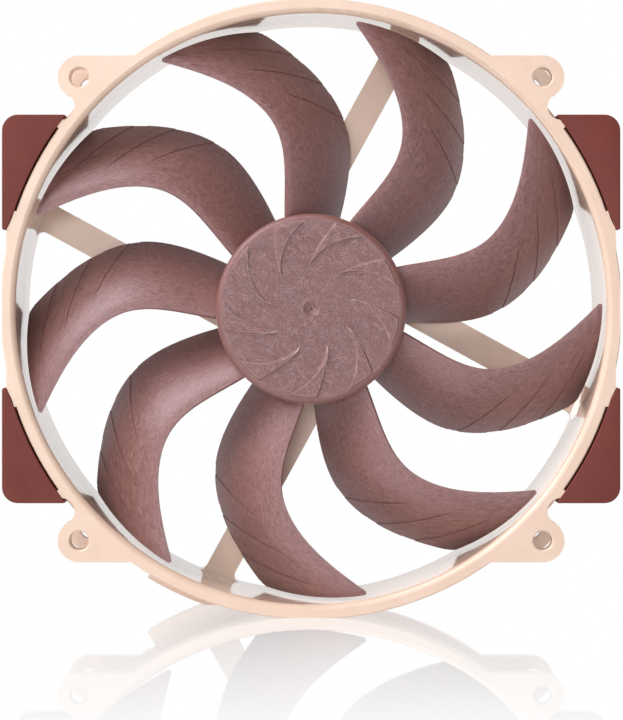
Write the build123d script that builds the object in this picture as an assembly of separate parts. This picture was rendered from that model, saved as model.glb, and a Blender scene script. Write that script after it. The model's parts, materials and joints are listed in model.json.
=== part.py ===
"""A 140 mm round-frame case fan: nine-blade impeller, four-pole external-rotor motor and soft corner pads.

Everything is modelled lying on the bench, with the spin axis on Z, the intake side up and Y across the frame.
upright() then stands each piece on its rim, so that the spin axis is row Y and the intake faces row -Y.
"""
import math
import os

from build123d import *

# ---------------------------------------------------------------- driving dimensions, mm
SQUARE = 140.0            # across the pads, and across the flats trimmed on the ring
FRAME_DEPTH = 25.0
FRONT, REAR = FRAME_DEPTH / 2, -FRAME_DEPTH / 2
PAD_PROUD = 0.3           # the soft pads stand this far off the frame's faces
HOLE_SPACING = 105.0      # the 120 mm fan hole pattern
HOLE_R = 2.15

BORE_R = 67.1             # air duct
RING_R = 70.4             # front and rear flanges of the ring
DRUM_R = 69.0             # the thinner wall between the flanges
FLANGE = 3.5              # thickness of flanges and ears along the axis
LIP = 1.2                 # the inlet lip opens out by this much
INTO_WALL = DRUM_R - 0.6  # ears, wings and lands start inside the ring's wall

EAR_R = 4.9
NOTCH_AT = (56.5, 45.8)   # the hollow between an ear and its pad
NOTCH_R = 2.95
EAR_INNER = 38.0          # the web between the ears' tops and the ring starts here
EJECTOR_AT = (48.6, 55.4)  # round mark left by an ejector pin
EJECTOR_R, EJECTOR_LINE, EJECTOR_SINK = 1.2, 0.16, 0.06

PAD_LOW, PAD_HIGH = 17.9, 44.0    # a pad's reach along the side of the frame
PAD_CORNER = 3.6
PAD_SKIN = 0.9            # pad wall wrapped round the wing's edge
PAD_THICK = 3.3
LAND_R = 70.8             # the ring's raised lands, which the pads meet
LAND_ANGLES = ((12.5, 18.3), (35.6, 40.5))    # degrees, from and to; between them a pad clears the ring
WING = 2.0                # thickness of the flange inside a pad
WING_LOW = 12.0           # a wing's lower end, beside its pad's toe
PEG_AT = (64.6, 36.6)
PEG_R, PEG_HEAD_R, PEG_HEAD = 1.5, 1.95, 1.0

STRUTS = 4
STRUT_ANGLE = 61.3        # degrees, the first strut's direction
STRUT_OFFSET = 11.0       # struts pass the axis at this distance
STRUT_WIDTH = 6.7
STRUT_FOOT = 1.6          # rounding where a strut meets the wall
BASE_R = 21.6             # motor base
BASE_RIM = 0.9            # the cup's rim stands this far above the struts
CUP_WALL = 1.4            # the base is a cup with this wall and floor
CUP_FLOOR = REAR + CUP_WALL
SLEEVE_R, SLEEVE_TOP = 6.0, REAR + 6.2    # collar round the bearing housing
POST_AT, POST_R = 17.6, 1.2               # posts under the circuit board
LABEL_PLACE_R, LABEL_R, LABEL_SINK = 18.6, 18.4, 0.3
WIRE_WAY_WIDTH, WIRE_WAY_DEPTH = 3.6, 2.0
OUTLET_R = 74.3           # cable outlet block on the ring
OUTLET_FROM, OUTLET_TO = 238.8, 258.0
OUTLET_HEIGHT = 5.2

HUB_R = 21.7
HUB_FACE = 11.3           # height of the hub's face, without the fins
HUB_BOTTOM = -7.2
HUB_WALL = 1.2
HUB_ROOF = 9.7            # underside of the hub's face
HUB_ROUND = 1.5           # rounding of the hub's rim
DIMPLE_BALL, DIMPLE_SINK = 3.4, 0.6       # the hollow at the hub's centre
GATE_R, GATE_SINK = 0.55, 1.1             # the moulding gate inside it
FIN_HEIGHT = 0.4
FIN_SLOPE = 0.6          # a fin's sides lean in by this much
FIN_TIP, FIN_MIDDLE, FIN_RIM = 7.8, 14.0, HUB_R - 1.2
BLADES = 9
TIP_R = 66.3
TIP_BAND = 1.1            # the intake side steps down along the tip
NOSE_ROUND, HEEL_ROUND = 0.6, 1.6         # rounding of the tip's leading and trailing corners

# Blade stations: radius, then leading and trailing edge angle in degrees,
# leading and trailing edge height, greatest thickness, and how much of the chord's rise is parabolic.
STATIONS = [
    (21.7, 25.6, -7.4, 8.3, -6.0, 2.1, 0.45),
    (28.0, 22.0, -6.4, 8.7, -6.3, 1.9, 0.50),
    (36.0, 19.9, -4.4, 9.1, -6.5, 1.7, 0.55),
    (44.0, 21.7, -0.5, 9.4, -6.7, 1.5, 0.60),
    (52.0, 27.9, 6.2, 9.7, -6.8, 1.4, 0.66),
    (59.0, 35.0, 13.3, 10.0, -6.9, 1.3, 0.71),
    (66.3, 41.7, 20.6, 10.3, -7.0, 1.2, 0.75),
]
# Shallow channels: radius and angle of the mouth just off the trailing edge, then of the pointed end.
CHANNELS = ((42.4, -3.0, 50.1, 17.6), (50.2, 3.0, 56.8, 25.2), (57.2, 10.0, 63.4, 31.0))
CHANNEL_MOUTH, CHANNEL_SINK = 2.0, 0.28
BELOW_BLADES, ABOVE_BLADES = -12.0, 13.0
SECTION_PLANES = (20.55, 24.5, 30.0, 36.0, 42.0, 48.0, 54.0, 60.0, 64.5, 67.6)
CHORD_STEPS = (0.0, 0.08, 0.25, 0.45, 0.65, 0.85, 1.0)

YOKE_WALL, YOKE_LOW = 1.0, -6.2
MAGNET_R, MAGNET_LOW, MAGNET_HIGH = 17.0, -5.6, 6.6
BOSS_R, BOSS_FLANGE_R, BOSS_LOW = 3.5, 5.4, 5.2
SHAFT_R, SHAFT_END_ROUND = 1.5, 0.9
GROOVE_R, GROOVE_LOW, GROOVE_HIGH = 1.25, -8.2, -7.8    # the clip's groove in the shaft
CLIP_R, CLIP_MOUTH = 2.4, 1.0
RUNNING_GAP = 0.015
TOUCH_END = 0.02          # the shaft's round end stands this far off the thrust pad

HOUSING_R, HOUSING_LOW, HOUSING_HIGH = 4.0, -11.1, 4.6
BEARING_R, BEARING_LOW, BEARING_HIGH = 3.0, -7.6, 3.6
RELIEF_R, RELIEF_LOW, RELIEF_HIGH = 2.75, -3.2, -0.8    # oil reservoir round the bearing
THRUST_R, THRUST_LOW, THRUST_HIGH = 2.9, -10.5, -9.9
HOLD_MAGNET_R, HOLD_MAGNET_HIGH = 2.0, -8.6
WASHER_R, WASHER_LOW, WASHER_HIGH = 1.75, 3.7, 4.1

POLES = 4
STATOR_R = 16.5
STACK_LOW, STACK_HIGH = -4.6, 2.4
CORE_R, SHOE_R = 7.0, 13.9    # outside of the stack's middle, inside of its pole shoes
NECK, SLOT = 4.4, 3.2         # widths of a pole's neck and of the slot between shoes
FILM = 0.35                   # an insulator overhangs the stack by this much
SKIN, UPSTAND = 0.7, 2.6      # heights of an insulator's plate and upstands
COIL_FROM, COIL_TO = 7.5, 13.4
COIL_WIDTH, COIL_PILE, COIL_ROUND = 9.6, 1.7, 1.6

BOARD_R, BOARD_HOLE_R = 19.2, 6.4
BOARD_LOW, BOARD_HIGH = -8.6, -7.7
PIN_AT, PIN_R = 10.9, 0.3


# ---------------------------------------------------------------- small helpers
def upright(shape):
    """Stands a bench-frame shape on its rim: bench Z becomes row -Y, bench Y becomes row Z."""
    return Rot(90, 0, 0) * shape


def save(name, shape):
    export_step(upright(shape), f"parts/{name}.step")


def polar(radius, degrees, z=0.0):
    a = math.radians(degrees)
    return (radius * math.cos(a), radius * math.sin(a), z)


def disc(radius, low, high):
    return Pos(0, 0, low) * extrude(Circle(radius), high - low)


def tube(outer, inner, low, high):
    return Pos(0, 0, low) * extrude(Circle(outer) - Circle(inner), high - low)


def plate(sketch, low, high):
    return Pos(0, 0, low) * extrude(sketch, high - low)


def polygon(*points):
    return make_face(Polyline(*points, close=True))


def closed(*curves):
    """One face inside a chain of curves."""
    return make_face(Wire([edge for curve in curves for edge in curve.edges()]))


def turned(shape, count):
    """count copies of a shape, evenly spaced round the axis."""
    return [Rot(0, 0, 360 / count * k) * shape for k in range(count)]


def corners(shape):
    """The shape and its mirror images in the other three quarters, keyed by side in bench X and Y."""
    left = mirror(shape, Plane.YZ)
    return {
        "upper_right": shape,
        "upper_left": left,
        "lower_right": mirror(shape, Plane.XZ),
        "lower_left": mirror(left, Plane.XZ),
    }


def both_faces(shape):
    """A front-side shape and its mirror image on the rear side."""
    return [shape, mirror(shape, Plane.XY)]


# ---------------------------------------------------------------- frame
def ring():
    """The duct wall: two flanges joined by a thinner drum, with a rounded inlet lip, trimmed square."""
    edge, neck = 0.3, 0.7
    lip_start = (BORE_R, FRONT - 1.6)
    lip_end = (BORE_R + LIP, FRONT)
    profile = Plane.XZ * closed(
        Line((BORE_R + edge, REAR), (BORE_R, REAR + edge)),
        Line((BORE_R, REAR + edge), lip_start),
        ThreePointArc(lip_start, (BORE_R + 0.28, FRONT - 0.55), lip_end),
        Polyline(
            lip_end,
            (RING_R - edge, FRONT),
            (RING_R, FRONT - edge),
            (RING_R, FRONT - FLANGE),
            (DRUM_R, FRONT - FLANGE - neck),
            (DRUM_R, REAR + FLANGE + neck),
            (RING_R, REAR + FLANGE),
            (RING_R, REAR + edge),
            (RING_R - edge, REAR),
            (BORE_R + edge, REAR),
        ),
    )
    return revolve(profile, Axis.Z) & Box(SQUARE, SQUARE, FRAME_DEPTH)


def ear_outline():
    half = HOLE_SPACING / 2
    top = half + EAR_R
    web = polygon((EAR_INNER, top), (half, top), (55.1, 48.2), NOTCH_AT, (51.0, 44.2), (EAR_INNER, 55.8))
    return web + Pos(half, half) * Circle(EAR_R) - Circle(INTO_WALL)


def wing_outline():
    """The flange that a pad wraps: the pad's outline less its skin, reaching in to the drum."""
    out = SQUARE / 2 - PAD_SKIN
    high = PAD_HIGH - PAD_SKIN
    sheet = polygon((out, WING_LOW), (out, high), (51.0, high), (64.0, WING_LOW))
    corner = sheet.vertices().sort_by(Axis.X)[-2:].sort_by(Axis.Y)[-1]
    sheet = fillet(corner, PAD_CORNER - PAD_SKIN)
    return sheet - Circle(INTO_WALL)


def lug_outline():
    """The full-height end of a wing, below its pad."""
    out = SQUARE / 2 - PAD_SKIN - 0.1
    lug = polygon((out, WING_LOW), (out, PAD_LOW), (67.0, 22.1), (66.0, 22.1), (66.0, WING_LOW))
    return lug - Circle(INTO_WALL)


def land_outline(start, stop):
    """A stretch of the ring that stands out to meet a pad."""
    wedge = polygon((0, 0), polar(80, start)[:2], polar(80, stop)[:2])
    return wedge & (Circle(LAND_R) - Circle(INTO_WALL))


def pad_outline():
    """A pad seen from the front: the corner between the ring and the square."""
    side = SQUARE / 2
    sheet = polygon((side, PAD_LOW), (side, PAD_HIGH), (50.0, PAD_HIGH), (50.0, PAD_LOW))
    sheet = fillet(sheet.vertices().sort_by(Axis.X)[-2:].sort_by(Axis.Y)[-1], PAD_CORNER)
    sheet = sheet - Circle(LAND_R) - lug_outline()
    ends = sheet.vertices().sort_by(Axis.Y)
    return fillet([ends[-2] if ends[-2].X < ends[-1].X else ends[-1]], 0.8)


def struts_and_base():
    """The motor base and its four struts, with the struts' feet rounded into the wall."""
    wall = Circle(DRUM_R - 0.5)
    sketch = wall - Circle(BORE_R)
    for k in range(STRUTS):
        bar = Pos(BORE_R / 2, STRUT_OFFSET) * Rectangle(BORE_R + 2, STRUT_WIDTH)
        sketch += Rot(0, 0, STRUT_ANGLE + k * 360 / STRUTS) * bar & wall
    sketch += Circle(BASE_R)
    feet = [v for v in sketch.vertices() if abs(math.hypot(v.X, v.Y) - BORE_R) < 0.05]
    sketch = fillet(feet, STRUT_FOOT)
    body = plate(sketch, REAR, REAR + FLANGE)
    return body + disc(BASE_R, REAR + FLANGE - 0.01, REAR + FLANGE + BASE_RIM)


def cable_way():
    """The wire channel behind one strut, and its turn into the outlet block."""
    start, reach = 17.0, BORE_R + 2.6
    way = Box(reach - start, WIRE_WAY_WIDTH, WIRE_WAY_DEPTH, align=(Align.MIN, Align.CENTER, Align.MIN))
    way = Rot(0, 0, STRUT_ANGLE + 180) * (Pos(start, STRUT_OFFSET, REAR) * way)
    turn = Circle(OUTLET_R - 1.2) - Circle(RING_R - 0.6)
    turn &= polygon((0, 0), polar(90, OUTLET_FROM - 2)[:2], polar(90, 252.5)[:2])
    return way + plate(turn, REAR, REAR + 3.2)


def outlet_block():
    block = Circle(OUTLET_R) - Circle(DRUM_R - 0.4)
    block &= polygon((0, 0), polar(100, OUTLET_FROM)[:2], polar(100, OUTLET_TO)[:2])
    return plate(block, REAR, REAR + OUTLET_HEIGHT) & Box(SQUARE, SQUARE, FRAME_DEPTH)


def frame():
    body = ring()
    ear = plate(ear_outline(), FRONT - FLANGE, FRONT)
    wing_top = FRONT + PAD_PROUD - PAD_THICK
    wing = plate(wing_outline(), wing_top - WING, wing_top)
    wing -= Pos(*PEG_AT, wing_top - WING / 2) * Cylinder(PEG_R, WING)
    lug = plate(lug_outline(), wing_top - WING, FRONT)
    lands = [plate(land_outline(*angles), wing_top - WING, FRONT) for angles in LAND_ANGLES]
    for piece in (ear, wing, lug, *lands):
        for faced in both_faces(piece):
            for placed in corners(faced).values():
                body += placed
    body += struts_and_base()
    body += outlet_block()

    half = HOLE_SPACING / 2
    hole = Pos(half, half, FRONT - FLANGE / 2) * Cylinder(HOLE_R, FLANGE + 1)
    mouth = Pos(half, half, FRONT - 0.15) * Cone(HOLE_R, HOLE_R + 0.3, 0.3)
    notch = Pos(*NOTCH_AT, FRONT - FLANGE / 2) * Cylinder(NOTCH_R, FLANGE)
    mark = Pos(*EJECTOR_AT) * tube(EJECTOR_R, EJECTOR_R - EJECTOR_LINE, FRONT - EJECTOR_SINK, FRONT + 1)
    for cut in (hole, mouth, notch, mark):
        for faced in both_faces(cut):
            for placed in corners(faced).values():
                body -= placed

    body -= disc(BASE_R - CUP_WALL, CUP_FLOOR, 0)
    body += tube(SLEEVE_R, HOUSING_R, CUP_FLOOR - 0.01, SLEEVE_TOP)
    for post in turned(Pos(POST_AT, 0) * disc(POST_R, CUP_FLOOR - 0.01, BOARD_LOW), 3):
        body += post
    body -= cable_way()
    return body - disc(LABEL_PLACE_R, REAR - 0.01, REAR + LABEL_SINK)


def pad():
    """One soft pad: a plate with a skirt round the wing's outer edge and a headed peg through the wing."""
    top = FRONT + PAD_PROUD
    under = top - PAD_THICK
    body = plate(pad_outline(), under, top)
    rim = body.faces().sort_by(Axis.Z)[-1].edges()
    body = chamfer(rim, 0.35)
    skirt = pad_outline() - wing_outline() - Circle(LAND_R + 0.3)
    body += plate(skirt, under - WING, under + 0.01)
    body += Pos(*PEG_AT) * disc(PEG_R, under - WING - 0.01, under + 0.01)
    return body + Pos(*PEG_AT) * disc(PEG_HEAD_R, under - WING - PEG_HEAD, under - WING)


# ---------------------------------------------------------------- impeller
def station(radius):
    """Blade values at a radius: a cubic through the stations, straight beyond the last."""
    rows = STATIONS
    last = len(rows) - 2
    i = max(k for k in range(last + 1) if k == 0 or rows[k][0] <= radius)
    low, high = rows[i], rows[i + 1]
    before, after = rows[max(i - 1, 0)], rows[min(i + 2, last + 1)]
    t = (radius - low[0]) / (high[0] - low[0])
    values = []
    for column in range(1, len(low)):
        slope_low = (high[column] - before[column]) / (high[0] - before[0])
        slope_high = (after[column] - low[column]) / (after[0] - low[0])
        span = high[0] - low[0]
        if t > 1:
            values.append(high[column] + slope_high * (radius - high[0]))
            continue
        values.append(
            (2 * t**3 - 3 * t**2 + 1) * low[column]
            + (t**3 - 2 * t**2 + t) * slope_low * span
            + (3 * t**2 - 2 * t**3) * high[column]
            + (t**3 - t**2) * slope_high * span
        )
    return values


def camber_point(flat, middle, c):
    """Where the blade's middle surface, at share c of the chord, meets the plane at distance flat."""
    radius = flat
    for _ in range(12):
        lead, trail, high, low, _thick, curve = station(radius)
        angle = math.radians(lead + (trail - lead) * c - middle)
        radius = flat / math.cos(angle)
    rise = (1 - curve) * c + curve * c * c
    return radius * math.sin(angle), high + (low - high) * rise


def blade_section(flat):
    """The blade's closed section in the plane square to the radius at its middle, flat from the axis."""
    lead, trail, _high, _low, thick, _curve = station(flat)
    middle = (lead + trail) / 2
    centre = [camber_point(flat, middle, c) for c in CHORD_STEPS]
    top, under = [], []
    for i, (c, (s, z)) in enumerate(zip(CHORD_STEPS, centre)):
        a, b = centre[max(i - 1, 0)], centre[min(i + 1, len(centre) - 1)]
        ds, dz = b[0] - a[0], b[1] - a[1]
        size = math.hypot(ds, dz)
        half = thick / 2 * (0.38 + 0.62 * math.sqrt(max(0.0, math.sin(math.pi * min(1.0, c**0.7)))))
        nx, nz = dz / size * half, -ds / size * half
        top.append((s - nx, z - nz))
        under.append((s + nx, z + nz))
    plane = Plane(
        origin=polar(flat, middle),
        x_dir=polar(1, middle + 90),
        z_dir=polar(1, middle),
    )
    return plane * Wire([
        Spline(*top),
        Line(top[-1], under[-1]),
        Spline(*reversed(under)),
        Line(under[0], top[0]),
    ])


def channel_outline(channel):
    """A shallow channel's outline: a crescent that opens at the trailing edge and ends in a point."""
    radius, angle, end_radius, end_angle = channel
    mouth, far_mouth = polar(radius, angle)[:2], polar(radius + CHANNEL_MOUTH, angle)[:2]
    middle, half_way = (radius + end_radius) / 2, (angle + end_angle) / 2
    end = polar(end_radius, end_angle)[:2]
    return closed(
        ThreePointArc(mouth, polar(middle, half_way)[:2], end),
        ThreePointArc(end, polar(middle + CHANNEL_MOUTH / 2, half_way)[:2], far_mouth),
        Line(far_mouth, mouth),
    )


def corner_sliver(corner, toward, away, radius):
    """What rounding takes off a corner whose edges leave it in the directions toward and away, in degrees."""
    half = math.radians((away - toward) / 2)
    middle = (toward + away) / 2
    reach = radius / math.sin(half)
    centre = Vector(*corner) + Vector(*polar(reach, middle))
    outer = Vector(*corner) - Vector(*polar(reach, middle))
    first = centre + Vector(*polar(radius + 0.5, toward - 90))
    second = centre + Vector(*polar(radius + 0.5, away + 90))
    sheet = polygon(*((p.X, p.Y) for p in (centre, first, outer, second)))
    return sheet - Pos(centre.X, centre.Y) * Circle(radius)


def blade():
    """One blade: lofted sections trimmed at the tip, with a step and shallow channels in its intake side."""
    _radius, lead, trail = STATIONS[-1][:3]
    lofted = Solid.make_loft([blade_section(p) for p in SECTION_PLANES])
    body = lofted & disc(TIP_R, BELOW_BLADES, ABOVE_BLADES)
    nose = corner_sliver(polar(TIP_R, lead), lead - 137.5, lead - 90, NOSE_ROUND)
    heel = corner_sliver(polar(TIP_R, trail), trail + 90, trail + 222.5, HEEL_ROUND)
    for corner in (nose, heel):
        body -= plate(corner, BELOW_BLADES, ABOVE_BLADES)
    lowered = Pos(0, 0, -CHANNEL_SINK) * body
    sunk = [tube(TIP_R + 1, TIP_R - TIP_BAND, BELOW_BLADES, ABOVE_BLADES)]
    sunk += [plate(channel_outline(channel), BELOW_BLADES, ABOVE_BLADES) for channel in CHANNELS]
    for place in sunk:
        body -= place - lowered
    return body


def fin_outline(inset):
    """One of the swirl fins on the hub: a leaf between two curved edges, drawn in by inset."""
    rim = FIN_RIM - inset
    lean, rim_lean = (math.degrees(inset / radius) for radius in (FIN_MIDDLE, rim))
    tip = polar(FIN_TIP + 4 * inset, 95.0 - lean)[:2]
    ahead, between, behind = (polar(rim, angle)[:2] for angle in (75.0 - rim_lean, 64.5, 54.0 + rim_lean))
    return closed(
        ThreePointArc(tip, polar(FIN_MIDDLE, 85.5 - lean)[:2], ahead),
        ThreePointArc(ahead, between, behind),
        ThreePointArc(behind, polar(FIN_MIDDLE, 75.8 + lean)[:2], tip),
    )


def fin():
    """A swirl fin with leaning sides."""
    foot, top = HUB_FACE - 0.3, HUB_FACE + FIN_HEIGHT
    return loft([Pos(0, 0, foot) * fin_outline(0), Pos(0, 0, top) * fin_outline(FIN_SLOPE)], ruled=True)


def impeller():
    """Hub cup, swirl fins and nine blades, moulded in one."""
    hub = disc(HUB_R, HUB_BOTTOM, HUB_FACE)
    hub = fillet(hub.edges().sort_by(Axis.Z)[-1], HUB_ROUND)
    hub -= disc(HUB_R - HUB_WALL, HUB_BOTTOM - 1, HUB_ROOF)
    for one in turned(fin(), BLADES) + turned(blade(), BLADES):
        hub += one
    hub -= Pos(0, 0, HUB_FACE + DIMPLE_BALL - DIMPLE_SINK) * Sphere(DIMPLE_BALL)
    return hub - disc(GATE_R, HUB_FACE - GATE_SINK, HUB_FACE)


# ---------------------------------------------------------------- rotor inside the hub
def rotor_yoke():
    inside = HUB_R - HUB_WALL
    cup = disc(inside, YOKE_LOW, HUB_ROOF) - disc(inside - YOKE_WALL, -20, HUB_ROOF - YOKE_WALL)
    return cup - disc(BOSS_R, 0, 20)


def rotor_magnet():
    return tube(HUB_R - HUB_WALL - YOKE_WALL, MAGNET_R, MAGNET_LOW, MAGNET_HIGH)


def shaft_boss():
    flange_top = HUB_ROOF - YOKE_WALL
    flange = tube(BOSS_FLANGE_R, SHAFT_R, flange_top - 1.0, flange_top)
    return tube(BOSS_R, SHAFT_R, BOSS_LOW, HUB_ROOF) + flange


def rotor_shaft():
    shaft = disc(SHAFT_R, THRUST_HIGH + TOUCH_END, HUB_ROOF)
    shaft = fillet(shaft.edges().sort_by(Axis.Z)[0], SHAFT_END_ROUND)
    return shaft - tube(SHAFT_R + 1, GROOVE_R, GROOVE_LOW, GROOVE_HIGH)


def shaft_clip():
    mouth = plate(Pos(0, CLIP_R) * Rectangle(CLIP_MOUTH, 2 * CLIP_R), GROOVE_LOW, GROOVE_HIGH)
    return tube(CLIP_R, GROOVE_R, GROOVE_LOW, GROOVE_HIGH) - mouth


# ---------------------------------------------------------------- bearing
def bearing_housing():
    return disc(HOUSING_R, HOUSING_LOW, HOUSING_HIGH) - disc(BEARING_R, THRUST_LOW, HOUSING_HIGH)


def sleeve_bearing():
    body = tube(BEARING_R, SHAFT_R + RUNNING_GAP, BEARING_LOW, BEARING_HIGH)
    return body - tube(BEARING_R + 1, RELIEF_R, RELIEF_LOW, RELIEF_HIGH)


def thrust_pad():
    return disc(THRUST_R, THRUST_LOW, THRUST_HIGH)


def stabilising_magnet():
    return tube(BEARING_R, HOLD_MAGNET_R, THRUST_HIGH, HOLD_MAGNET_HIGH)


def oil_seal_washer():
    return tube(BEARING_R, WASHER_R, WASHER_LOW, WASHER_HIGH)


# ---------------------------------------------------------------- stator
def slots(width):
    """Bars across the pole shoes, midway between the poles."""
    return [Rot(0, 0, 45 + 90 * k) * (Pos(15, 0) * Rectangle(8, width)) for k in range(POLES)]


def stator_sketch(grow=0.0):
    """Lamination outline: a ring on the bearing housing, four necks and four pole shoes."""
    neck = Pos(STATOR_R / 2, 0) * Rectangle(STATOR_R - 1, NECK + 2 * grow)
    necks = Sketch() + [Rot(0, 0, 90 * k) * neck for k in range(POLES)]
    shoes = Circle(STATOR_R) - Circle(SHOE_R - grow) - slots(SLOT)
    return Circle(CORE_R + grow) + (necks & Circle(STATOR_R)) + shoes - Circle(HOUSING_R)


def stator_core():
    return plate(stator_sketch(), STACK_LOW, STACK_HIGH)


def insulator():
    """The upper bobbin half: a plate over the stack with an upstand on each shoe and a collar."""
    body = plate(stator_sketch(FILM) & Circle(STATOR_R - 0.4), STACK_HIGH, STACK_HIGH + SKIN)
    walls = (Circle(15.4) - Circle(14.4) - slots(6.5)) + (Circle(7.2) - Circle(6.3))
    return body + plate(walls, STACK_HIGH + SKIN - 0.1, STACK_HIGH + UPSTAND)


def lower_insulator():
    """The lower bobbin half, with its upstands cut short above the board."""
    middle = (STACK_LOW + STACK_HIGH) / 2
    body = mirror(insulator(), Plane.XY.offset(middle))
    return body - tube(20, HOUSING_R, -20, STACK_LOW - UPSTAND)


def coil():
    """One winding: a rounded rectangular loop round a neck and both insulators."""
    inner_low, inner_high = STACK_LOW - SKIN, STACK_HIGH + SKIN
    inside = Rectangle(NECK + 2 * FILM + 0.02, inner_high - inner_low + 0.02)
    outside = RectangleRounded(COIL_WIDTH, inner_high - inner_low + 2 * COIL_PILE, COIL_ROUND)
    loop = extrude(Plane.YZ * (outside - inside), 20)
    loop = Pos(0, 0, (inner_low + inner_high) / 2) * loop
    return loop & tube(COIL_TO, COIL_FROM, -12, 12) & wedge_between_slots()


def wedge_between_slots():
    return plate(polygon((1.2, 0), (14.2, 13.0), (20, 0), (14.2, -13.0)), -12, 12)


# ---------------------------------------------------------------- circuit board
def circuit_board():
    board = tube(BOARD_R, BOARD_HOLE_R, BOARD_LOW, BOARD_HIGH)
    for pin in winding_pins().solids():
        board -= pin
    return board


def on_board(radius, degrees, length, width, low, high):
    block = Pos(radius, 0, (low + high) / 2) * Box(length, width, high - low)
    return Rot(0, 0, degrees) * block


def driver_chip():
    body = on_board(12.5, 205, 3.9, 4.9, BOARD_LOW - 1.5, BOARD_LOW)
    return chamfer(body.faces().sort_by(Axis.Z)[0].edges(), 0.25)


def hall_sensor():
    return on_board(17.2, 45, 1.5, 2.9, BOARD_HIGH, BOARD_HIGH + 1.1)


def board_capacitors():
    return Compound([
        on_board(12.0, 150, 1.6, 3.2, BOARD_LOW - 1.2, BOARD_LOW),
        on_board(15.4, 150, 1.6, 3.2, BOARD_LOW - 1.2, BOARD_LOW),
        on_board(11.0, 262, 1.3, 2.0, BOARD_LOW - 0.9, BOARD_LOW),
    ])


def board_resistors():
    return Compound([
        on_board(radius, degrees, 0.8, 1.6, BOARD_LOW - 0.5, BOARD_LOW)
        for radius, degrees in ((9.5, 176), (9.5, 236), (15.8, 182), (15.8, 228), (12.6, 286), (14.8, 286))
    ])


def winding_pins():
    """Pins that join the windings to the board."""
    return Compound([
        Rot(0, 0, 45 + 90 * k) * (Pos(PIN_AT, 0) * disc(PIN_R, BOARD_LOW - 0.8, BOARD_HIGH + 0.7))
        for k in range(POLES)
    ])


def rear_label():
    return disc(LABEL_R, REAR + 0.05, REAR + LABEL_SINK)


# ---------------------------------------------------------------- write every piece
def main():
    os.makedirs("parts", exist_ok=True)
    save("frame", frame())
    for face, shape in zip(("front", "rear"), both_faces(pad())):
        for place, piece in corners(shape).items():
            save(f"{face}_pad_{place}", piece)
    singles = {
        "impeller": impeller(),
        "rotor_yoke": rotor_yoke(),
        "rotor_magnet": rotor_magnet(),
        "shaft_boss": shaft_boss(),
        "rotor_shaft": rotor_shaft(),
        "shaft_clip": shaft_clip(),
        "bearing_housing": bearing_housing(),
        "sleeve_bearing": sleeve_bearing(),
        "thrust_pad": thrust_pad(),
        "stabilising_magnet": stabilising_magnet(),
        "oil_seal_washer": oil_seal_washer(),
        "stator_core": stator_core(),
        "upper_insulator": insulator(),
        "lower_insulator": lower_insulator(),
        "circuit_board": circuit_board(),
        "driver_chip": driver_chip(),
        "hall_sensor": hall_sensor(),
        "board_capacitors": board_capacitors(),
        "board_resistors": board_resistors(),
        "winding_pins": winding_pins(),
        "rear_label": rear_label(),
    }
    for name, shape in singles.items():
        save(name, shape)
    for k, shape in enumerate(turned(coil(), POLES)):
        save(f"stator_coil_{k + 1}", shape)


main()
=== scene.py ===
# %% [markdown]
# # A case fan, dressed around its CAD frame
#
# The engineering model already fixes every size and joint. This lesson loads it, remakes the soft corner
# pads as rounded mouldings, gives each part the finish of what it is really made of, and sets up a small
# studio. Every length is in metres, and the fan spins about the Y axis, with its intake facing -Y.

# %% Load the frame
import json
import math

import bmesh
import bpy
from mathutils import Matrix, Vector


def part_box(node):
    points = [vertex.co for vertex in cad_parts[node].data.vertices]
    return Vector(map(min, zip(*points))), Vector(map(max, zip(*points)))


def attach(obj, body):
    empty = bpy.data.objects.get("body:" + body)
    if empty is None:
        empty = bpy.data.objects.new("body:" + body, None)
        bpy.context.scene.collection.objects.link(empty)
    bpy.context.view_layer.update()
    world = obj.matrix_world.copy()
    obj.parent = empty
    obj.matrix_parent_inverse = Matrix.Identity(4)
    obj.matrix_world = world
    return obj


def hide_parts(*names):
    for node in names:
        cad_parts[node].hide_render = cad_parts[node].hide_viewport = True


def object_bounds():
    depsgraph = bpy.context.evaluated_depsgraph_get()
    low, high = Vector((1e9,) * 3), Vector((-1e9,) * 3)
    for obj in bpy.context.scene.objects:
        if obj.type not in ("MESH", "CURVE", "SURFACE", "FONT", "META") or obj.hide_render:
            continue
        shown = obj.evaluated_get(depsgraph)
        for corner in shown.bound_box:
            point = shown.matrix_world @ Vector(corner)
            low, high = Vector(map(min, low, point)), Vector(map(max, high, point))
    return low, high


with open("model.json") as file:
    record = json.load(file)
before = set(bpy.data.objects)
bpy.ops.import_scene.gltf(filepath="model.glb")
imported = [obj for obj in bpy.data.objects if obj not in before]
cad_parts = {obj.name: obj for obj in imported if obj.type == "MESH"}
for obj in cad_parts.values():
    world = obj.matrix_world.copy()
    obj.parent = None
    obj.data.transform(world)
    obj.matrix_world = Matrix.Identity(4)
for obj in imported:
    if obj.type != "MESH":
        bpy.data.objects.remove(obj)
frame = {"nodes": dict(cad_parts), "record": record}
cad_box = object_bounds()
MM = 0.001
print("CAD box in mm:", [[round(v / MM, 1) for v in corner] for corner in cad_box])

# %% [markdown]
# ## Colours and nodes
#
# Colours are easiest to choose as the hex values that a screen shows, but shaders reckon in linear light,
# so one function turns one into the other. One more function adds a shader node, sets it up and links its
# inputs. With these two, each material below stays a short list of steps that can be read from top to
# bottom.


# %% Colour and node helpers
def linear(hex_colour):
    """An sRGB hex colour as linear red, green, blue and alpha."""
    shares = [int(hex_colour[i : i + 2], 16) / 255 for i in (1, 3, 5)]
    return tuple(c / 12.92 if c <= 0.04045 else ((c + 0.055) / 1.055) ** 2.4 for c in shares) + (1.0,)


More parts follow.
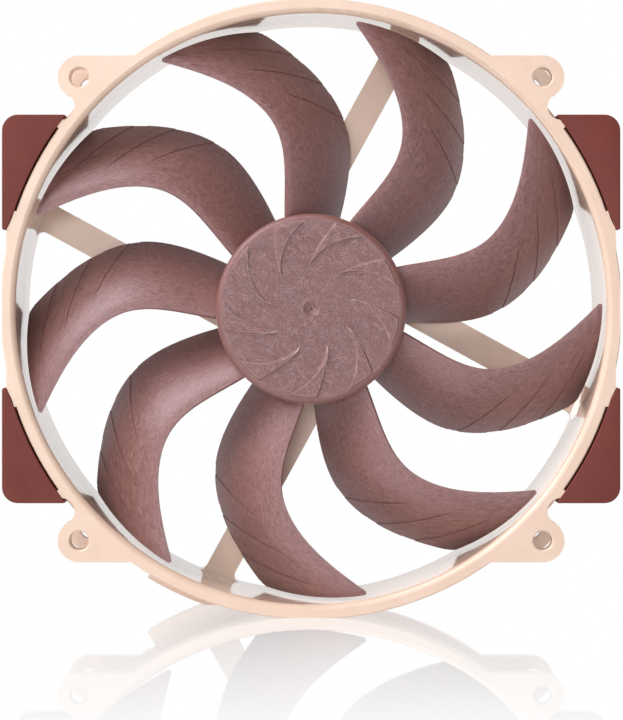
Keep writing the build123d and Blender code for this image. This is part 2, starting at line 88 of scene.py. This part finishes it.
def add(tree, kind, settings=None, inputs=None):
    """A new shader node. Its inputs, by name, by number or in order, are values, sockets or other nodes."""
    made = tree.nodes.new("ShaderNode" + kind)
    for name, value in (settings or {}).items():
        setattr(made, name, value)
    given = inputs if isinstance(inputs, dict) else dict(enumerate(inputs or ()))
    for key, value in given.items():
        socket = made.inputs[key] if isinstance(key, int) else next(
            s for s in made.inputs if s.name == key and s.enabled
        )
        if isinstance(value, bpy.types.Node):
            value = next(s for s in value.outputs if s.enabled)
        if isinstance(value, bpy.types.NodeSocket):
            tree.links.new(value, socket)
        else:
            socket.default_value = value
    return made


def new_material(name, **shader_inputs):
    """A material with a Principled shader; the inputs' underscores stand for spaces."""
    material = bpy.data.materials.new(name)
    material.use_nodes = True
    tree = material.node_tree
    tree.nodes.clear()
    inputs = {key.replace("_", " "): value for key, value in shader_inputs.items()}
    shader = add(tree, "BsdfPrincipled", inputs=inputs)
    add(tree, "OutputMaterial", inputs={"Surface": shader})
    return material, tree, shader


def per_size(size_mm):
    """The scale of a noise whose lumps are that many millimetres across."""
    return 1 / (size_mm * MM)


print("linear mid grey:", [round(v, 3) for v in linear("#808080")])

# %% [markdown]
# ## Moulded and turned surfaces have the same few habits
#
# Almost every part of a fan is a small moulding or a turned or pressed metal piece. What the eye reads on
# them is a base colour that drifts a little, a gloss that isn't quite even, a fine relief, and slightly
# lighter, smoother edges. This function builds that common ground from two noises and the Bevel node's
# edge finder, and the special finishes then add what is their own. The lighter edges are a painted
# highlight: near every edge the colour is lightened, where a rounded edge would catch the light.


# %% A common surface
EDGE_WIDTH = 0.35 * MM


def facing(tree):
    """1 on a flat face, and less within EDGE_WIDTH of an edge."""
    rounded = add(tree, "Bevel", {"samples": 4}, {"Radius": EDGE_WIDTH})
    face_normal = add(tree, "NewGeometry").outputs["Normal"]
    along = add(tree, "VectorMath", {"operation": "DOT_PRODUCT"}, {0: rounded, 1: face_normal})
    return along.outputs["Value"]


def surface(name, light, dark, rough, drift_mm, grain_mm, grain_height, edge_highlight_share=0.12, **shader_inputs):
    """A material whose colour drifts between two hex colours, with a fine grain and a painted highlight on
    its edges.
    """
    material, tree, shader = new_material(name, **shader_inputs)
    place = add(tree, "TexCoord").outputs["Object"]
    drift = add(tree, "TexNoise", inputs={"Vector": place, "Scale": per_size(drift_mm), "Detail": 3.0})
    grain = add(tree, "TexNoise", inputs={"Vector": place, "Scale": per_size(grain_mm), "Detail": 2.0})
    spread = add(tree, "MapRange", None, (drift.outputs["Fac"], 0.3, 0.7, 0.0, 1.0))
    colour = add(
        tree, "Mix", {"data_type": "RGBA"}, {"Factor": spread, "A": linear(dark), "B": linear(light)}
    )
    # Painted highlight: within EDGE_WIDTH of an edge the colour is lightened towards the light hex colour.
    edge = add(tree, "MapRange", None, (facing(tree), 0.995, 0.85, 0.0, edge_highlight_share))
    painted_edge_highlight = add(
        tree,
        "Mix",
        {"data_type": "RGBA", "blend_type": "SCREEN"},
        {"Factor": edge, "A": colour, "B": linear(light)},
    )
    gloss = add(tree, "MapRange", None, (grain.outputs["Fac"], 0.0, 1.0, rough - 0.06, rough + 0.06))
    relief = add(
        tree, "Bump", inputs={"Height": grain.outputs["Fac"], "Distance": grain_height * MM, "Strength": 1.0}
    )
    tree.links.new(painted_edge_highlight.outputs[2], shader.inputs["Base Color"])
    tree.links.new(gloss.outputs["Result"], shader.inputs["Roughness"])
    tree.links.new(relief.outputs["Normal"], shader.inputs["Normal"])
    return material, tree, shader


# %% [markdown]
# ## Frame: satin glass-filled PBT
#
# The frame is injection moulded from glass-filled PBT, a beige engineering plastic. Its outside is spark-
# eroded to a fine satin, and the duct inside is polished, so the wall mirrors the light behind the fan
# when seen at a low angle. One material does both: a mask made from the distance to the spin axis lowers
# the roughness inside the duct, and fine lines round the duct, left by the turning of the mould's core,
# break the mirror up into streaks.

# %% Distance to the spin axis
def axis_distance(tree):
    """The point with its Y left out, and its distance from the spin axis."""
    place = add(tree, "TexCoord").outputs["Object"]
    flat = add(tree, "VectorMath", {"operation": "MULTIPLY"}, {0: place, 1: (1, 0, 1)})
    radius = add(tree, "VectorMath", {"operation": "LENGTH"}, {0: flat})
    return place, flat, radius.outputs["Value"]


# %% Frame plastic
DUCT_RADIUS = 67.25 * MM
TIP_CIRCLE = 66.4 * MM


def frame_plastic():
    material, tree, shader = surface(
        "satin glass-filled PBT", "#D8BDAB", "#D2B6A3", 0.42, 9, 0.5, 0.012, IOR=1.57, Coat_Roughness=0.07
    )
    place, _flat, radius = axis_distance(tree)
    inside = add(tree, "MapRange", None, (radius, DUCT_RADIUS, DUCT_RADIUS + 0.5 * MM, 1.0, 0.0))
    outside = add(tree, "Math", {"operation": "GREATER_THAN"}, {0: radius, 1: TIP_CIRCLE})
    wall = add(tree, "Math", {"operation": "MULTIPLY"}, {0: inside, 1: outside})
    turned = add(tree, "VectorMath", {"operation": "MULTIPLY"}, {0: place, 1: (0.05, 1, 0.05)})
    lines = add(tree, "TexNoise", inputs={"Vector": turned, "Scale": per_size(1.6), "Detail": 3.0})
    polish = add(tree, "MapRange", None, (lines.outputs["Fac"], 0.35, 0.65, 0.05, 0.22))
    satin = shader.inputs["Roughness"].links[0].from_socket
    gloss = add(tree, "Mix", inputs={"Factor": wall, "A": satin, "B": polish})
    clear = add(tree, "Math", {"operation": "MULTIPLY"}, {0: wall, 1: 0.6})
    tree.links.new(gloss.outputs[0], shader.inputs["Roughness"])
    tree.links.new(clear.outputs[0], shader.inputs["Coat Weight"])
    relief = shader.inputs["Normal"].links[0].from_node
    smoothed = add(tree, "MapRange", None, (wall, 0.0, 1.0, 1.0, 0.0))
    tree.links.new(smoothed.outputs["Result"], relief.inputs["Strength"])
    return material


# %% [markdown]
# ## Impeller: glass-fibre LCP
#
# The impeller is liquid crystal polymer filled with glass fibre. The melt enters at the middle of the hub,
# so its fibres lie every way there and leave a fine worm-like grain. Then it runs out along each blade and
# freezes with its fibres along the flow, which leaves short silky strokes that run outwards and bend with
# the blade. For the worms, a noise is folded over a few times, so that its contour lines show. For the
# strokes, space is bent before the noise is looked up: the coordinates are turned about the axis by the
# blade's own sweep, squeezed on to a circle and stretched along the radius. The distance to the axis then
# fades one into the other.

# %% Grain of the impeller
HUB_RADIUS = 21.7 * MM
SWEEP_START = 36 * MM
SWEEP = math.radians(0.027) / MM**2


def flow_coordinates(tree, circle, stretch):
    """Coordinates that follow the melt: round the axis on a circle of that radius, and squeezed outwards."""
    _place, flat, radius = axis_distance(tree)
    past = add(tree, "Math", {"operation": "SUBTRACT"}, {0: radius, 1: SWEEP_START})
    past = add(tree, "Math", {"operation": "MAXIMUM"}, {0: past, 1: 0.0})
    square = add(tree, "Math", {"operation": "MULTIPLY"}, {0: past, 1: past})
    turn = add(tree, "Math", {"operation": "MULTIPLY"}, {0: square, 1: SWEEP})
    turned = add(tree, "VectorRotate", {"rotation_type": "Y_AXIS"}, {"Vector": flat, "Angle": turn})
    unit = add(tree, "VectorMath", {"operation": "NORMALIZE"}, {0: turned})
    ring = add(tree, "VectorMath", {"operation": "SCALE"}, {0: unit, "Scale": circle})
    outwards = add(tree, "Math", {"operation": "MULTIPLY"}, {0: radius, 1: stretch})
    lift = add(tree, "CombineXYZ", inputs={"Y": outwards})
    return add(tree, "VectorMath", {"operation": "ADD"}, {0: ring, 1: lift})


def worms(tree, place):
    """The contour lines of a bent noise, from 0 to 1."""
    bent = add(
        tree, "TexNoise",
        inputs={"Vector": place, "Scale": per_size(2.4), "Detail": 3.0, "Roughness": 0.55, "Distortion": 1.6},
    )
    many = add(tree, "Math", {"operation": "MULTIPLY"}, {0: bent.outputs["Fac"], 1: 14.0})
    return add(tree, "Math", {"operation": "PINGPONG"}, {0: many, 1: 1.0}).outputs["Value"]


def strokes(tree):
    """Short strokes along the melt's flow, from 0 to 1."""
    flow = flow_coordinates(tree, 42 * MM, 0.36)
    silk = add(
        tree, "TexNoise",
        inputs={"Vector": flow, "Scale": per_size(0.42), "Detail": 4.0, "Roughness": 0.65, "Distortion": 0.7},
    )
    return add(tree, "MapRange", None, (silk.outputs["Fac"], 0.22, 0.78, 0.0, 1.0)).outputs["Result"]


# %% Impeller plastic
def impeller_plastic():
    material, tree, shader = new_material(
        "glass-fibre LCP", IOR=1.7, Specular_Tint=linear("#F4F0FF"),
        Sheen_Weight=0.3, Sheen_Roughness=0.35, Sheen_Tint=linear("#D8D0D6"),
    )
    place, _flat, radius = axis_distance(tree)
    outwards = add(tree, "MapRange", None, (radius, HUB_RADIUS - 3 * MM, HUB_RADIUS, 0.0, 1.0))
    grain = add(tree, "Mix", inputs={"Factor": outwards, "A": worms(tree, place), "B": strokes(tree)})
    height = grain.outputs[0]
    cloud = add(tree, "TexNoise", inputs={"Vector": place, "Scale": per_size(12), "Detail": 3.0})
    specks = add(tree, "TexNoise", inputs={"Vector": place, "Scale": per_size(0.35), "Detail": 1.0})
    bright = add(tree, "MapRange", None, (specks.outputs["Fac"], 0.64, 0.76, 0.0, 0.28))
    cloudy = add(tree, "MapRange", None, (cloud.outputs["Fac"], 0.35, 0.7, 0.0, 0.35))
    # Painted shade: a darker, redder band on the hub's rounded rim.
    rise = add(tree, "MapRange", None, (radius, HUB_RADIUS - 1.4 * MM, HUB_RADIUS - 0.6 * MM, 0.0, 1.0))
    fall = add(tree, "MapRange", None, (radius, HUB_RADIUS + 0.1 * MM, HUB_RADIUS + 1.2 * MM, 0.7, 0.0))
    rim = add(tree, "Math", {"operation": "MULTIPLY"}, {0: rise, 1: fall})
    # Painted highlight: near the edges of the hub's fins and the blades' channels the colour is lightened.
    edge = add(tree, "MapRange", None, (facing(tree), 0.99, 0.85, 0.0, 0.55))
    edge_highlight_tint = add(
        tree,
        "Mix",
        {"data_type": "RGBA"},
        {"Factor": outwards, "A": linear("#C7A8A2"), "B": linear("#8C5F58")},
    )
    colour = add(
        tree, "Mix", {"data_type": "RGBA"}, {"Factor": height, "A": linear("#522B26"), "B": linear("#9A706A")}
    )
    # Painted shade: the blade tips are darkened on their trailing side, where the blade curves away from the
    # light.
    past = add(tree, "MapRange", None, (radius, TIP_CIRCLE - 4.5 * MM, TIP_CIRCLE - 1.0 * MM, 0.0, 0.5))
    depth = add(tree, "SeparateXYZ", inputs={0: place}).outputs["Y"]
    trailing = add(tree, "MapRange", None, (depth, -8 * MM, 0.0, 0.0, 1.0))
    painted_tip_shade = add(tree, "Math", {"operation": "MULTIPLY"}, {0: past, 1: trailing})
    middle = add(tree, "MapRange", None, (radius, HUB_RADIUS - 2 * MM, HUB_RADIUS, 0.4, 0.0))
    # The rim and tip tints below are painted shade.
    tints = (
        (middle, "#694641"),
        (cloudy, "#80524A"),
        (rim, "#74443A"),
        (painted_tip_shade, "#452A27"),
        (bright, "#C4A9A4"),
    )
    for share, tint in tints:
        colour = add(tree, "Mix", {"data_type": "RGBA"}, {"Factor": share, "A": colour, "B": linear(tint)})
    colour = add(tree, "Mix", {"data_type": "RGBA"}, {"Factor": edge, "A": colour, "B": edge_highlight_tint})
    gloss = add(tree, "MapRange", None, (height, 0.0, 1.0, 0.38, 0.5))
    relief = add(tree, "Bump", inputs={"Height": height, "Distance": 0.07 * MM, "Strength": 0.8})
    tree.links.new(colour.outputs[2], shader.inputs["Base Color"])
    tree.links.new(gloss.outputs["Result"], shader.inputs["Roughness"])
    tree.links.new(relief.outputs["Normal"], shader.inputs["Normal"])
    return material


# %% [markdown]
# ## The smaller parts
#
# Silicone is soft, slightly translucent and dull. Pressed and turned metals are brushed round their axis,
# copper wire shows its turns, and a circuit board is green lacquer over glass cloth. Each gets the common
# surface with its own colours, gloss and grain, or a metal with a fine grain.


# %% Metals, soft parts and electronics
def metal(name, light, dark, rough, grain_mm):
    return surface(name, light, dark, rough, 3, grain_mm, 0.006, Metallic=1.0)[0]


MATERIALS = {
    "frame_plastic": frame_plastic(),
    "impeller_plastic": impeller_plastic(),
    "silicone_pad": surface(
        "moulded silicone", "#6C312B", "#662D28", 0.55, 6, 0.35, 0.01, IOR=1.43, Specular_IOR_Level=0.3,
        Subsurface_Weight=0.08, Subsurface_Radius=(0.002, 0.0006, 0.0004),
    )[0],
    "yoke_steel": metal("deep-drawn zinc-plated steel", "#B4B6B9", "#9A9DA2", 0.34, 0.4),
    "bonded_magnet": surface("bonded ferrite", "#3A393B", "#2B2A2D", 0.62, 2, 0.25, 0.02, IOR=1.6)[0],
    "brass": metal("turned brass", "#CBA763", "#BC9650", 0.24, 0.3),
    "shaft_steel": metal("ground steel", "#CDD0D4", "#BFC3C8", 0.12, 0.2),
    "clip_nylon": surface("natural nylon", "#DEDBD2", "#D2CEC2", 0.45, 3, 0.3, 0.01, IOR=1.53)[0],
    "sintered_bronze": metal("sintered bronze", "#A57A50", "#8A6340", 0.5, 0.15),
    "lamination_steel": metal("electrical steel sheet", "#86878A", "#6E7074", 0.42, 0.35),
    "insulator_nylon": surface("glass-filled nylon", "#ECE8DC", "#E2DDCE", 0.5, 3, 0.3, 0.012, IOR=1.55)[0],
    "copper_winding": metal("enamelled copper wire", "#C0703A", "#A4552A", 0.3, 0.3),
    "board_laminate": surface(
        "solder mask on glass laminate", "#2F6A3E", "#255733", 0.3, 5, 0.5, 0.01, IOR=1.5
    )[0],
    "chip_epoxy": surface("moulded epoxy", "#2A2A2C", "#1E1E20", 0.5, 2, 0.2, 0.01, IOR=1.55)[0],
    "ceramic_chip": surface("glazed ceramic", "#B89F7B", "#A88E68", 0.35, 2, 0.3, 0.01, IOR=1.6)[0],
    "tinned_pins": metal("tinned wire", "#CFD1D0", "#BABDBC", 0.28, 0.3),
    "label_film": surface("matt label film", "#DDD0C0", "#D3C5B4", 0.6, 10, 0.4, 0.006, IOR=1.46)[0],
}
slot_of = {part["node"]: part["material_slot"] for part in frame["record"]["subparts"]}
for name, node in frame["nodes"].items():
    node.data.materials.clear()
    node.data.materials.append(MATERIALS[slot_of[name]])
print(len(MATERIALS), "materials on", len(frame["nodes"]), "CAD parts")

# %% [markdown]
# ## Soft corner pads
#
# Each pad is a moulded silicone corner that fills the space between the round duct and the square the fan
# must fit. It wraps the frame's flange with a skirt and is held by a peg pulled through a hole. One way is
# to model the outline by hand, but its inner side is simply an arc round the spin axis, so a point is spun
# into that arc, the arc is pulled out to the straight side, and bevels round the corners. Extruding and a
# rim bevel then give the soft edge that catches the light. One pad is made in place, and mirroring it
# gives the other seven.

# %% Pad outline
PATTERN_PAD = "front_pad_upper_right"
LAND_RADIUS = 70.8 * MM
ARC_FROM, ARC_TO = math.radians(18.25), math.radians(38.43)
ARC_STEPS = 24
TOE_WIDTH = 1.0 * MM
pad_low, pad_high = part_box(PATTERN_PAD)


def pad_outline(pad):
    """The front face of the upper right pad, in the plane of its box's front, with sharp corners."""
    front = pad_low.y
    start = pad.verts.new((LAND_RADIUS * math.cos(ARC_FROM), front, LAND_RADIUS * math.sin(ARC_FROM)))
    bmesh.ops.spin(
        pad, geom=[start], cent=(0, 0, 0), axis=(0, -1, 0), angle=ARC_TO - ARC_FROM, steps=ARC_STEPS
    )
    end = max(pad.verts, key=lambda v: v.co.z)
    end.co.z = pad_high.z
    corners = [(pad_high.x, pad_high.z), (pad_high.x, pad_low.z), (pad_high.x - TOE_WIDTH, pad_low.z)]
    for x, z in corners:
        following = bmesh.ops.extrude_vert_indiv(pad, verts=[end])["verts"][0]
        following.co = (x, front, z)
        end = following
    pad.edges.new((end, start))
    bmesh.ops.contextual_create(pad, geom=pad.edges[:])


# %% Pad body, skirt and peg
PAD_THICK, WING, SKIRT = 3.3 * MM, 2.0 * MM, 0.88 * MM
RIM_ROUND = 0.42 * MM
PEG = Vector((64.6 * MM, 0, 36.6 * MM))
PEG_RADIUS, HEAD_RADIUS = 1.5 * MM, 1.95 * MM


def round_corner(pad, x, z, offset, segments):
    """Rounds the pad's upright edge at that place."""
    edge = [e for e in pad.edges if all(abs(v.co.x - x) + abs(v.co.z - z) < 0.02 * MM for v in e.verts)]
    bmesh.ops.bevel(
        pad, geom=edge, offset=offset, segments=segments, profile=0.5, affect="EDGES", material=-1
    )


def pad_body(pad):
    """Thickens the outline, rounds its corners and front rim, and pulls the skirt back over the flange."""
    inner_x = min(v.co.x for v in pad.verts)
    grown = bmesh.ops.extrude_face_region(pad, geom=pad.faces[:])["geom"]
    for vertex in (g for g in grown if isinstance(g, bmesh.types.BMVert)):
        vertex.co.y += PAD_THICK
    bmesh.ops.recalc_face_normals(pad, faces=pad.faces)
    round_corner(pad, pad_high.x, pad_high.z, 3.6 * MM, 8)
    round_corner(pad, inner_x, pad_high.z, 0.6 * MM, 4)
    round_corner(pad, pad_high.x, pad_low.z, 0.45 * MM, 3)
    round_corner(pad, pad_high.x - TOE_WIDTH, pad_low.z, 0.3 * MM, 3)
    rim = [
        e for e in pad.edges
        if all(abs(v.co.y - pad_low.y) < 0.01 * MM for v in e.verts)
    ]
    bmesh.ops.bevel(
        pad, geom=rim, offset=RIM_ROUND, segments=4, profile=0.5, affect="EDGES", material=-1,
        loop_slide=True, clamp_overlap=True,
    )
    flat_back = [f for f in pad.faces if f.normal.y > 0.9]
    border = bmesh.ops.inset_region(pad, faces=flat_back, thickness=SKIRT, use_even_offset=True)["faces"]
    side, top = pad_high.x - SKIRT, pad_high.z - SKIRT
    skirt = []
    for face in border:
        middle = face.calc_center_median()
        past_corner = middle.x + middle.z > pad_high.x + pad_high.z - 3.5 * MM
        if middle.x > side or middle.z > top or past_corner:
            skirt.append(face)
    pulled = bmesh.ops.extrude_face_region(pad, geom=skirt)["geom"]
    bmesh.ops.delete(pad, geom=skirt, context="FACES")
    for vertex in (g for g in pulled if isinstance(g, bmesh.types.BMVert)):
        vertex.co.y += WING


def pad_peg(pad):
    """The peg through the flange, and the rounded head behind it."""
    turn = Matrix.Rotation(math.radians(90), 4, "X")
    stem_middle = PEG + Vector((0, pad_low.y + PAD_THICK + WING / 2, 0))
    head_middle = PEG + Vector((0, pad_low.y + PAD_THICK + WING + 0.5 * MM, 0))
    bmesh.ops.create_cone(
        pad, cap_ends=True, segments=32, radius1=PEG_RADIUS, radius2=PEG_RADIUS, depth=WING + 0.1 * MM,
        matrix=Matrix.Translation(stem_middle) @ turn,
    )
    head = bmesh.ops.create_cone(
        pad, cap_ends=True, segments=32, radius1=HEAD_RADIUS, radius2=HEAD_RADIUS, depth=1.0 * MM,
        matrix=Matrix.Translation(head_middle) @ turn,
    )
    edges = {e for v in head["verts"] for e in v.link_edges if len(e.link_faces) == 2}
    sharp = [e for e in edges if e.calc_face_angle(0) > 1]
    bmesh.ops.bevel(pad, geom=sharp, offset=0.35 * MM, segments=3, profile=0.5, affect="EDGES", material=-1)


def pattern_pad():
    pad = bmesh.new()
    pad_outline(pad)
    pad_body(pad)
    pad_peg(pad)
    bmesh.ops.recalc_face_normals(pad, faces=pad.faces)
    return pad


# %% All eight pads
def smooth(piece, degrees=35):
    for face in piece.data.polygons:
        face.use_smooth = True
    piece.data.set_sharp_from_angle(angle=math.radians(degrees))


def place_pad(face, level, side):
    pad = pattern_pad()
    flips = (1 if side == "right" else -1, 1 if face == "front" else -1, 1 if level == "upper" else -1)
    bmesh.ops.scale(pad, vec=flips, verts=pad.verts)
    bmesh.ops.recalc_face_normals(pad, faces=pad.faces)
    mesh = bpy.data.meshes.new(f"silicone_{face}_{level}_{side}")
    pad.to_mesh(mesh)
    pad.free()
    piece = bpy.data.objects.new(mesh.name, mesh)
    bpy.context.scene.collection.objects.link(piece)
    mesh.materials.append(MATERIALS["silicone_pad"])
    smooth(piece)
    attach(piece, "housing")
    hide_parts(f"{face}_pad_{level}_{side}")
    return piece


pads = [place_pad(f, l, s) for f in ("front", "rear") for l in ("upper", "lower") for s in ("left", "right")]
print(len(pads), "pads of", len(pads[0].data.polygons), "faces each")

# %% [markdown]
# ## Studio
#
# The fan stands on a polished white floor that runs on to a white backdrop, which is how such an object is
# usually shown. The floor is a light table: it glows by itself, so it stays white and takes no shadow, and
# it mirrors the fan most where the fan touches it, fading outwards. The backdrop is white to the eye from
# every side, but as a light it is brightest behind the fan, which brings out the polished duct. A large
# soft lamp from the upper left then models the blades, and a weak one beside the lens reaches the struts.

# %% Floor
floor_height = cad_box[0].z
FLOOR_HALF = 6.0
MIRROR_NEAR = 0.45
MIRROR_START, MIRROR_END = 15 * MM, 150 * MM


def white_floor():
    sheet = bmesh.new()
    bmesh.ops.create_grid(
        sheet, x_segments=1, y_segments=1, size=FLOOR_HALF, matrix=Matrix.Translation((0, 0, floor_height))
    )
    mesh = bpy.data.meshes.new("studio_floor")
    sheet.to_mesh(mesh)
    sheet.free()
    floor = bpy.data.objects.new("studio_floor", mesh)
    bpy.context.scene.collection.objects.link(floor)
    mesh.materials.append(light_table())


def light_table():
    """White that glows, and mirrors what stands on it."""
    material = bpy.data.materials.new("polished white acrylic light table")
    material.use_nodes = True
    tree = material.node_tree
    tree.nodes.clear()
    glow = add(tree, "Emission", inputs={"Strength": 1.0})
    polish = add(tree, "BsdfAnisotropic", inputs={"Color": linear("#FFFFFF"), "Roughness": 0.03})
    place = add(tree, "TexCoord").outputs["Object"]
    oval = add(tree, "VectorMath", {"operation": "MULTIPLY"}, {0: place, 1: (0.5, 1, 0)})
    away = add(tree, "VectorMath", {"operation": "LENGTH"}, {0: oval}).outputs["Value"]
    mirror = add(tree, "MapRange", None, (away, MIRROR_START, MIRROR_END, MIRROR_NEAR, 0.0))
    polished = add(tree, "MixShader", inputs={0: mirror, 1: glow, 2: polish})
    add(tree, "OutputMaterial", inputs={"Surface": polished})
    return material


# %% World and lamps
OVERHEAD_LIGHT, FRONT_LIGHT = 0.35, 0.28


def white_world():
    """White to the eye from every side. As a light it is dimmer overhead and in front of the fan."""
    world = bpy.data.worlds.new("white_studio")
    bpy.context.scene.world = world
    world.use_nodes = True
    tree = world.node_tree
    way = add(tree, "SeparateXYZ", inputs={0: add(tree, "TexCoord").outputs["Generated"]})
    across = add(tree, "MapRange", None, (way.outputs["Y"], -0.3, 0.4, FRONT_LIGHT, 1.0))
    upwards = add(tree, "MapRange", None, (way.outputs["Z"], 0.2, 0.45, 1.0, OVERHEAD_LIGHT))
    as_light = add(tree, "Math", {"operation": "MULTIPLY"}, {0: across, 1: upwards})
    seen = add(tree, "LightPath").outputs["Is Camera Ray"]
    strength = add(tree, "Mix", inputs={"Factor": seen, "A": as_light, "B": 1.0})
    tree.links.new(strength.outputs[0], tree.nodes["Background"].inputs["Strength"])
    tree.nodes["Background"].inputs["Color"].default_value = (1.0, 1.0, 1.0, 1.0)


def lamp(name, where, power, size):
    """A square soft lamp aimed at the fan's centre."""
    light = bpy.data.lights.new(name, "AREA")
    light.energy = power
    light.size = size
    held = bpy.data.objects.new(name, light)
    held.location = where
    held.rotation_euler = (-Vector(where)).to_track_quat("-Z", "Y").to_euler()
    bpy.context.scene.collection.objects.link(held)


white_floor()
white_world()
lamp("key_softbox", (-0.78, -0.42, 1.0), 32, 1.2)
lamp("front_softbox", (-0.15, -1.25, 0.1), 4.6, 0.3)
bpy.context.scene.view_settings.view_transform = "Standard"

# %% [markdown]
# ## Camera
#
# A long lens straight down the spin axis keeps the ring round. The picture is taller than it is wide, and
# the fan sits above its middle, so the lens is shifted rather than tilted, which keeps the fan's sides
# parallel.

# %% Camera
LENS_LENGTH = 102.75
DISTANCE = 465 * MM
camera_data = bpy.data.cameras.new("long_lens")
camera_data.lens = LENS_LENGTH
camera_data.shift_x, camera_data.shift_y = 0.0146, -0.0857
camera = bpy.data.objects.new("long_lens", camera_data)
camera.location = (-2.3 * MM, cad_box[0].y - DISTANCE, 2.4 * MM)
camera.rotation_euler = (math.radians(90), 0, 0)
bpy.context.scene.collection.objects.link(camera)
bpy.context.scene.camera = camera
print("lens:", round(camera_data.lens, 1), "mm")
